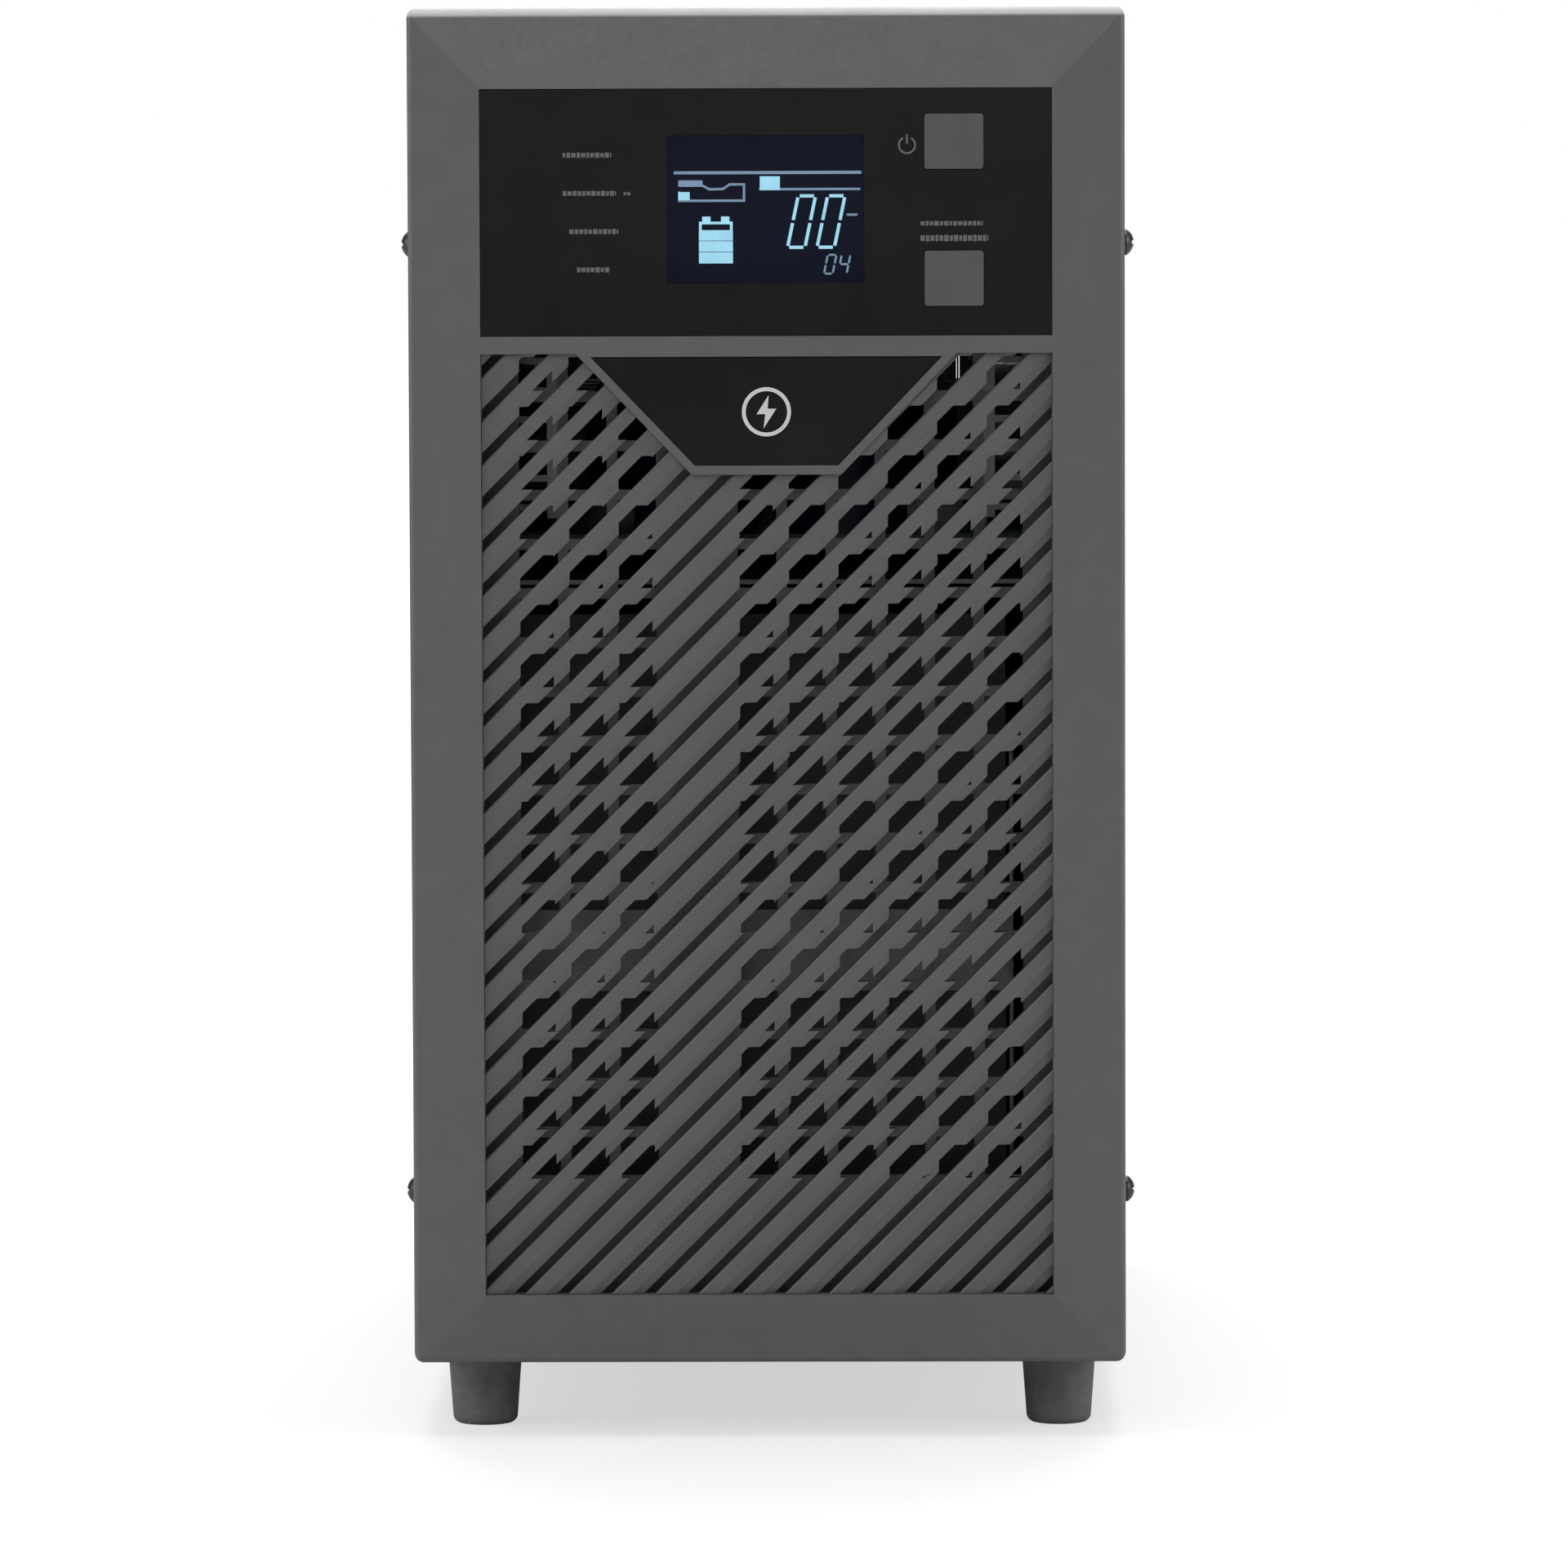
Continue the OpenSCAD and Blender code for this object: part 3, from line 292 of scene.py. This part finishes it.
SLOTS = {
    "bezel_plastic": moulded("bezel_plastic", BEZEL_GREY, 0.42, 0.56),
    "panel_gloss": gloss("panel_gloss", grey(0.007), 0.05, 0.11, 0.38),
    "lcd_glass": lens("lcd_glass", (0.80, 0.84, 0.92), 0.0, 1.2),
    "lcd_face": lit("lcd_face", (0.0024, 0.0036, 0.0120), 1.0, 0.25),
    "board_green": circuit_board("board_green", (0.02, 0.11, 0.045)),
    "button_plastic": moulded("button_plastic", grey(0.067), 0.36, 0.46, 0.3, 0.02),
    "black_plastic": moulded("black_plastic", grey(0.012), 0.35, 0.5),
    "lens_plastic": gloss("lens_plastic", grey(0.007), 0.05, 0.11, 0.38),
    "emblem_silver": moulded("emblem_silver", (0.55, 0.55, 0.57), 0.22, 0.36, 0.3, 0.01),
    "case_paint": coated("case_paint", grey(0.092)),
    "zinc_steel": metal("zinc_steel", (0.36, 0.37, 0.39), 0.38, 0.56, (1.0, 0.2, 1.0)),
    "screw_black": metal("screw_black", (0.055, 0.055, 0.058), 0.28, 0.45),
    "heatsink_alloy": metal("heatsink_alloy", (0.68, 0.69, 0.71), 0.3, 0.45, (1.0, 0.08, 1.0), 0.3),
    "capacitor_sleeve": gloss("capacitor_sleeve", (0.02, 0.03, 0.08), 0.2, 0.35),
    "copper_winding": wound("copper_winding", (0.42, 0.17, 0.06)),
    "relay_plastic": moulded("relay_plastic", (0.02, 0.05, 0.14), 0.3, 0.45),
    "transformer_core": moulded("transformer_core", (0.05, 0.047, 0.042), 0.5, 0.7, 0.5, 0.08),
    "ribbon_grey": moulded("ribbon_grey", (0.33, 0.33, 0.35), 0.4, 0.55),
    "battery_case": moulded("battery_case", (0.10, 0.10, 0.106), 0.45, 0.62, 0.6, 0.08),
    "lead_red": rubber("lead_red", (0.28, 0.02, 0.015)),
    "foot_rubber": rubber("foot_rubber", grey(0.105)),
    "fan_plastic": moulded("fan_plastic", grey(0.014), 0.35, 0.5, 0.5, 0.06),
    "guard_steel": metal("guard_steel", (0.40, 0.40, 0.42), 0.2, 0.34),
    "outlet_plastic": moulded("outlet_plastic", grey(0.014), 0.3, 0.45),
    "breaker_white": moulded("breaker_white", (0.46, 0.46, 0.44), 0.3, 0.45),
    "port_shell": metal("port_shell", (0.45, 0.46, 0.48), 0.22, 0.38),
    "connector_plastic": moulded("connector_plastic", grey(0.028), 0.35, 0.5),
    "stud_brass": metal("stud_brass", (0.60, 0.44, 0.17), 0.2, 0.36),
}
PALE_PRINT = printed("pale_print", grey(0.10))
SEGMENT_BRIGHT = lit("segment_bright", (0.42, 0.78, 0.88), 1.05)
SEGMENT_DIM = lit("segment_dim", (0.24, 0.34, 0.43), 1.0)
GOLD = metal("contact_gold", (0.80, 0.58, 0.25), 0.15, 0.28)
NICKEL = metal("contact_nickel", (0.40, 0.39, 0.37), 0.25, 0.4)


# ------------------------------------------------------------------ finish of the CAD nodes

SHARP_ANGLE = math.radians(35)
WELD_REACH = 0.002 * MM


def soften(obj, width_mm):
    """Rounds a node's sharp edges."""
    weld = obj.modifiers.new("weld", "WELD")
    weld.merge_threshold = WELD_REACH
    bevel = obj.modifiers.new("bevel", "BEVEL")
    bevel.width = width_mm * MM
    bevel.segments = 2
    bevel.limit_method = "ANGLE"
    bevel.angle_limit = SHARP_ANGLE
    bevel.harden_normals = False
    bevel.use_clamp_overlap = True
    obj.modifiers.new("even", "WEIGHTED_NORMAL").keep_sharp = True


SOFT_EDGES = {
    "front_bezel": 0.35, "slat_grille": 0.2, "badge_plate": 0.2,
    "power_button": 0.35, "select_button": 0.35, "slot_cover": 0.25,
    "outlet_1": 0.35, "outlet_2": 0.35, "outlet_3": 0.35, "outlet_4": 0.35,
    "mains_inlet": 0.3, "battery_connector": 0.3, "breaker_body": 0.25, "breaker_button": 0.35,
    "foot_front_left": 0.6, "foot_front_right": 0.6, "foot_rear_left": 0.6, "foot_rear_right": 0.6,
}

slot_of = {row["node"]: row["material_slot"] for row in frame["record"]["subparts"]}
# The front sheet gets a lighter grey than the case paint: painted light that brightens the sheet seen
# between the slats.
own_finish = {"front_sheet": coated("sheet_paint_and_painted_light", grey(0.3)), "front_bezel": bezel_surface()}
for name, obj in frame["nodes"].items():
    for place in obj.material_slots:
        place.material = own_finish.get(name, SLOTS[slot_of[name]])
    if name in SOFT_EDGES:
        soften(obj, SOFT_EDGES[name])


# ------------------------------------------------------------------ mesh helpers

def piece(name, bm, material):
    """Makes an object from a bmesh, in metres in the shared frame, that rides on the case."""
    bmesh.ops.recalc_face_normals(bm, faces=bm.faces)
    mesh = bpy.data.meshes.new(name)
    bm.to_mesh(mesh)
    bm.free()
    obj = bpy.data.objects.new(name, mesh)
    scene.collection.objects.link(obj)
    mesh.materials.append(material)
    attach(obj, CASE)


def prism(bm, points, near, far):
    """A closed prism along Y from an outline of (x, z) points in metres."""
    front = [bm.verts.new((x, near, z)) for x, z in points]
    back = [bm.verts.new((x, far, z)) for x, z in points]
    bm.faces.new(front)
    bm.faces.new(back)
    for i in range(len(points)):
        j = (i + 1) % len(points)
        bm.faces.new((front[i], front[j], back[j], back[i]))


def rectangle(x0, x1, z0, z1):
    return [(x0, z0), (x1, z0), (x1, z1), (x0, z1)]


def stroke(a, b, width):
    """The outline of a straight line of some width."""
    a, b = Vector(a), Vector(b)
    along = (b - a).normalized() * width / 2
    side = Vector((-along.y, along.x))
    return [tuple(p) for p in (a - along + side, a - along - side, b + along - side, b + along + side)]


def arc(centre, radius, start, end, width, steps=24):
    """The outline of an arc of some width, angles in degrees."""
    angles = [math.radians(start + (end - start) * i / steps) for i in range(steps + 1)]
    ring = lambda r: [(centre[0] + r * math.cos(a), centre[1] + r * math.sin(a)) for a in angles]
    return ring(radius + width / 2) + ring(radius - width / 2)[::-1]


def drawn(name, outlines, centre, near, depth_mm, material):
    """Thin raised shapes on a face, with outlines in millimetres about a centre."""
    bm = bmesh.new()
    for outline in outlines:
        points = [(centre.x + x * MM, centre.z + z * MM) for x, z in outline]
        prism(bm, points, near - depth_mm * MM, near)
    piece(name, bm, material)


# ------------------------------------------------------------------ display content

SEGMENTS = {
    "a": ((0, 1), (1, 1)), "b": ((1, 1), (1, 0.5)), "c": ((1, 0.5), (1, 0)), "d": ((0, 0), (1, 0)),
    "e": ((0, 0.5), (0, 0)), "f": ((0, 1), (0, 0.5)), "g": ((0, 0.5), (1, 0.5)),
}
DIGITS = {"0": "abcdef", "4": "bcfg"}
SLANT = 0.21


def digit(figure, x, z, width, height, thick):
    """The strokes of one slanted seven-segment figure whose lower left corner is at x, z."""
    outlines = []
    for letter in DIGITS[figure]:
        ends = []
        for u, v in SEGMENTS[letter]:
            ends.append(Vector((x + u * width + v * height * SLANT, z + v * height)))
        inset = (ends[1] - ends[0]).normalized() * thick
        outlines.append(stroke(ends[0] + inset, ends[1] - inset, thick))
    return outlines


def path_strokes(points, width):
    return [stroke(a, b, width) for a, b in zip(points, points[1:])]


FACE_DEPTH = 0.6 * MM
lcd_face_y = lcd_module_y + FACE_DEPTH

# Large figures
bright = []
for x in (5.7, 13.5):
    bright += digit("0", x, -10.2, 4.6, 13.6, 0.85)
# Blocks on the power path
bright += [rectangle(-1.6, 3.7, 5.0, 8.6), rectangle(-23.2, -20.2, 2.4, 4.5)]
# Battery: three bars, a lid and two terminals
for low, high in ((-8.35, -5.6), (-11.3, -8.5), (-14.4, -11.45)):
    bright += [rectangle(-17.8, -8.8, low, high)]
bright += [rectangle(-16.9, -14.7, -3.4, -2.0), rectangle(-11.9, -9.7, -3.4, -2.0)]
bright += path_strokes([(-17.4, -5.4), (-17.4, -3.7), (-9.2, -3.7), (-9.2, -5.4)], 0.7)

# Lines of the power path
dim = []
dim += [rectangle(-24.4, 25.3, 9.2, 10.0), rectangle(-1.8, 25.0, 4.9, 5.5)]
dim += [rectangle(-23.2, -16.8, 5.9, 7.6)]
dim += path_strokes([(-17.0, 6.3), (-14.9, 5.2), (-11.4, 5.3), (-9.6, 6.5), (-5.8, 6.5),
                     (-5.8, 2.2), (-23.0, 2.2), (-23.0, 4.4)], 0.6)
# Small figures, and the dash beside the large ones
dim += digit("0", 15.3, -17.2, 2.3, 5.0, 0.5)
dim += digit("4", 19.0, -17.2, 2.3, 5.0, 0.5)
dim += [rectangle(21.4, 24.2, -1.9, -1.3)]
drawn("display_figures", bright, lcd_centre, lcd_face_y, 0.06, SEGMENT_BRIGHT)
drawn("display_lines", dim, lcd_centre, lcd_face_y, 0.05, SEGMENT_DIM)


# ------------------------------------------------------------------ marks printed on the panel

BLOCK_WIDTH = 0.75
BLOCK_SPREAD = 0.45
BLOCK_GAP = 0.28


def bars(x0, x1, z, height=1.35, seed=0):
    """A row of small blocks of uneven width, standing for a printed line."""
    outlines = []
    x = x0
    step = seed
    while x < x1:
        width = BLOCK_WIDTH + BLOCK_SPREAD * ((step * 7) % 5) / 4
        rise = height * (0.86 + 0.14 * ((step * 3) % 2))
        outlines.append(rectangle(x, min(x + width, x1), z - rise / 2, z + rise / 2))
        x += width + BLOCK_GAP
        step += 1
    return outlines


FIRST_ROW_Z = 15.2
ROW_PITCH = 10.1

# Lines beside the four indicators
marks = []
for row, (x0, x1) in enumerate(((-53.7, -40.8), (-53.7, -39.6), (-52.0, -39.0), (-50.0, -41.2))):
    marks += bars(x0, x1, FIRST_ROW_Z - row * ROW_PITCH, seed=row)
marks += bars(-37.6, -35.8, 5.0, 0.9)
# Two lines above the lower button
marks += bars(40.9, 57.4, -3.1, 1.25, 4) + bars(40.9, 58.8, -7.0, 1.7, 2)
# Power symbol beside the upper button
power_x, power_z = 37.4, 17.6
marks += [arc((power_x, power_z), 2.15, 120, 420, 0.5)]
marks += [stroke((power_x, power_z + 0.6), (power_x, power_z + 2.6), 0.5)]
drawn("panel_marks", marks, panel_centre, panel_face_y, 0.02, PALE_PRINT)


# ------------------------------------------------------------------ contacts and liners at the rear

def box(bm, centre, size):
    """A closed box given by its centre and size in millimetres."""
    for vert in bmesh.ops.create_cube(bm, size=1.0)["verts"]:
        vert.co = Vector([(at + part * length) * MM for at, part, length in zip(centre, vert.co, size)])


def pin(bm, x, z, radius, near, far, sides=16):
    """A round pin along Y, in millimetres."""
    turn = [2 * math.pi * i / sides for i in range(sides)]
    outline = [((x + radius * math.cos(a)) * MM, (z + radius * math.sin(a)) * MM) for a in turn]
    prism(bm, outline, near * MM, far * MM)


def rear_place(node):
    """A node's middle in X and Z and its rearmost Y, in millimetres."""
    low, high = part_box(node)
    return (low.x + high.x) / 2 / MM, (low.z + high.z) / 2 / MM, high.y / MM


WELL_R = 19.65
WELL_DEPTH = 17.5
CONTACT_X = 9.5
CLIP_BOWS = (0.5, 0.9, 1.1, 0.9, 0.5)


def socket_contacts(number):
    """Two contact sleeves and two earth clips that bow into the well."""
    x, z, lip_y = rear_place(f"outlet_{number}")
    floor_y = lip_y - WELL_DEPTH
    bm = bmesh.new()
    for side in (-1, 1):
        pin(bm, x + side * CONTACT_X, z, 2.15, floor_y - 9.5, floor_y - 3.0)
        slot_z = z + side * (WELL_R + 0.9)
        box(bm, (x, lip_y - 12.0, slot_z), (4.2, 21.0, 0.5))
        for step, bow in enumerate(CLIP_BOWS):
            box(bm, (x, lip_y - 5.0 - step * 2.0, slot_z - side * bow), (3.4, 2.05, 0.5))
    piece(f"contacts_{number}", bm, NICKEL)


def inlet_pins():
    x, z, rim_y = rear_place("mains_inlet")
    bm = bmesh.new()
    for dx, dz in ((-7, -3.5), (7, -3.5), (0, 4)):
        box(bm, (x + dx, rim_y - 8.9, z + dz), (2.3, 12.8, 7.8))
    piece("inlet_pins", bm, NICKEL)


def pack_contacts():
    """A flat blade in each well of the battery connector, with a blunt tip."""
    x, z, rim_y = rear_place("battery_connector")
    bm = bmesh.new()
    for side in (-1, 1):
        box(bm, (x + side * 10.5, rim_y - 13.0, z), (9.0, 16.0, 1.8))
        box(bm, (x + side * 10.5, rim_y - 5.3, z - 0.5), (7.0, 1.2, 2.8))
    piece("pack_contacts", bm, NICKEL)


PIN_PITCH = 2.76
CONTACT_PITCH = 1.1
SERIAL_FACE = ((-8.4, 3.3), (8.4, 3.3), (7.2, -3.3), (-7.2, -3.3))


def data_port_inserts():
    """Black inserts and gilt contacts of the network, USB and serial sockets."""
    ports_low, ports_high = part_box("data_ports")
    ports_x = ports_high.x / MM
    z = (ports_low.z + ports_high.z) / 2 / MM
    sheet_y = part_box("rear_panel")[1].y / MM
    liners = bmesh.new()
    gold = bmesh.new()
    for x in (ports_x - 21.5, ports_x - 7.5):
        box(liners, (x, sheet_y - 7.2, z + 0.4), (11.4, 10.0, 7.0))
        box(liners, (x, sheet_y - 7.2, z - 4.2), (5.6, 10.0, 3.4))
        for i in range(8):
            box(gold, (x + (i - 3.5) * CONTACT_PITCH, sheet_y - 1.6, z + 2.6), (0.5, 1.4, 2.0))

    usb_x = ports_x - 36.0
    box(liners, (usb_x, sheet_y - 7.4, z), (8.3, 9.6, 7.7))
    box(liners, (usb_x, sheet_y - 1.6, z), (5.9, 2.4, 3.3))
    for side in (-1, 1):
        for i in (-1, 1):
            box(gold, (usb_x + i * 1.3, sheet_y - 1.6, z + side * 1.72), (0.9, 1.6, 0.16))

    serial_x = ports_x - 61.5
    face = [((serial_x + dx) * MM, (z + dz) * MM) for dx, dz in SERIAL_FACE]
    prism(liners, face, (sheet_y + 4.3) * MM, (sheet_y + 4.65) * MM)
    for count, dz in ((5, 1.4), (4, -1.4)):
        for i in range(count):
            x = serial_x + (i - (count - 1) / 2) * PIN_PITCH
            pin(gold, x, z + dz, 0.5, sheet_y + 4.0, sheet_y + 4.8, 12)
    for side in (-1, 1):
        pin(gold, serial_x + side * 12.5, z, 2.0, sheet_y + 0.5, sheet_y + 3.4, 6)

    piece("port_liners", liners, SLOTS["outlet_plastic"])
    piece("port_contacts", gold, GOLD)


for number in range(1, 5):
    socket_contacts(number)
inlet_pins()
pack_contacts()
data_port_inserts()


# ------------------------------------------------------------------ camera, floor and light

FOCUS = (0.0043, 0.1751)
CAMERA_SIDE = 0.042
CAMERA_DISTANCE = 2.7
CAMERA_HEIGHT = 0.377
CAMERA_ROLL = math.radians(-0.204)
VIEW_WIDTH = 0.4164
SENSOR_WIDTH = 36.0
FLOOR_RADIUS = 14.0
FLOOR_ALBEDO = (0.62, 0.62, 0.62, 1.0)
SEEN_ALBEDO = (0.30, 0.30, 0.30, 1.0)
FLOOR_GLOW = (0.60, 1.0)
GLOW_REACH = (0.32, 1.1)
SKY_LIGHT = 0.34
SKY_GLOSS = 0.30

camera_data = bpy.data.cameras.new("camera")
camera = bpy.data.objects.new("camera", camera_data)
scene.collection.objects.link(camera)
camera.location = (CAMERA_SIDE, front_y - CAMERA_DISTANCE, CAMERA_HEIGHT)
aim = Vector((FOCUS[0], front_y, FOCUS[1])) - camera.location
level = aim.to_track_quat("-Z", "Y").to_matrix()
camera.rotation_euler = (level @ Matrix.Rotation(CAMERA_ROLL, 3, "Z")).to_euler()
camera_data.sensor_width = SENSOR_WIDTH
camera_data.lens = SENSOR_WIDTH * aim.length / VIEW_WIDTH
camera_data.clip_end = 60.0
scene.camera = camera

bm = bmesh.new()
bmesh.ops.create_circle(bm, cap_ends=True, segments=96, radius=FLOOR_RADIUS)
floor_mesh = bpy.data.meshes.new("floor")
bm.to_mesh(floor_mesh)
bm.free()
floor = bpy.data.objects.new("floor", floor_mesh)
scene.collection.objects.link(floor)
# Pale paper that is shown whiter, the more so away from the object: a camera-only glow, weaker near the
# object, paints a soft shadow around it
paper = Surface("floor_paper", FLOOR_ALBEDO[:3], 0.9).grain(1.5, 0.05, 0.05)
seen = paper.node("ShaderNodeLightPath").outputs["Is Camera Ray"]
paper.put(paper.shader.inputs["Base Color"], paper.mix(seen, FLOOR_ALBEDO, SEEN_ALBEDO))
paper.set("Emission Color", (1.0, 1.0, 1.0, 1.0))
reach = paper.node("ShaderNodeVectorMath", operation="LENGTH")
paper.put(reach.inputs[0], paper.coords)
# Painted shadow: the glow is lower near the object, darkening the floor there.
glow = paper.spread(reach.outputs["Value"], *FLOOR_GLOW, *GLOW_REACH)
paper.put(paper.shader.inputs["Emission Strength"], paper.math("MULTIPLY", seen, glow))
floor_mesh.materials.append(paper.mat)


def softbox(name, location, aim_height, size, watts):
    """A rectangular lamp that points at a height on the axis through the origin."""
    data = bpy.data.lights.new(name, "AREA")
    data.shape = "RECTANGLE"
    data.size, data.size_y = size
    data.energy = watts
    obj = bpy.data.objects.new(name, data)
    scene.collection.objects.link(obj)
    obj.location = location
    towards = Vector((0, 0, aim_height)) - Vector(location)
    obj.rotation_euler = towards.to_track_quat("-Z", "Y").to_euler()


softbox("top_light", (0.0, 0.0, 2.4), 0.2, (1.3, 1.3), 34)
softbox("front_light", (-0.4, -2.6, 1.5), 0.2, (1.6, 1.0), 19)
softbox("back_light", (0.0, 1.9, 1.7), 0.3, (2.4, 1.2), 60)
for side, name in ((-1, "left_light"), (1, "right_light")):
    softbox(name, (side * 1.9, -0.5, 0.9), 0.2, (0.8, 1.4), 17)

world = bpy.data.worlds.new("studio")
scene.world = world
world.use_nodes = True
sky = world.node_tree
background = sky.nodes["Background"]
path = sky.nodes.new("ShaderNodeLightPath")


def sky_grey(ray, level, base):
    """The sky's colour: a grey level for one kind of ray, and base for the others."""
    mix = sky.nodes.new("ShaderNodeMix")
    mix.data_type = "RGBA"
    sky.links.new(path.outputs[ray], mix.inputs["Factor"])
    mix.inputs["B"].default_value = (level, level, level, 1.0)
    if isinstance(base, bpy.types.NodeSocket):
        sky.links.new(base, mix.inputs["A"])
    else:
        mix.inputs["A"].default_value = (base, base, base, 1.0)
    return mix.outputs["Result"]


sky.links.new(sky_grey("Is Camera Ray", 1.0, sky_grey("Is Glossy Ray", SKY_GLOSS, SKY_LIGHT)),
              background.inputs["Color"])

scene.view_settings.view_transform = "Standard"
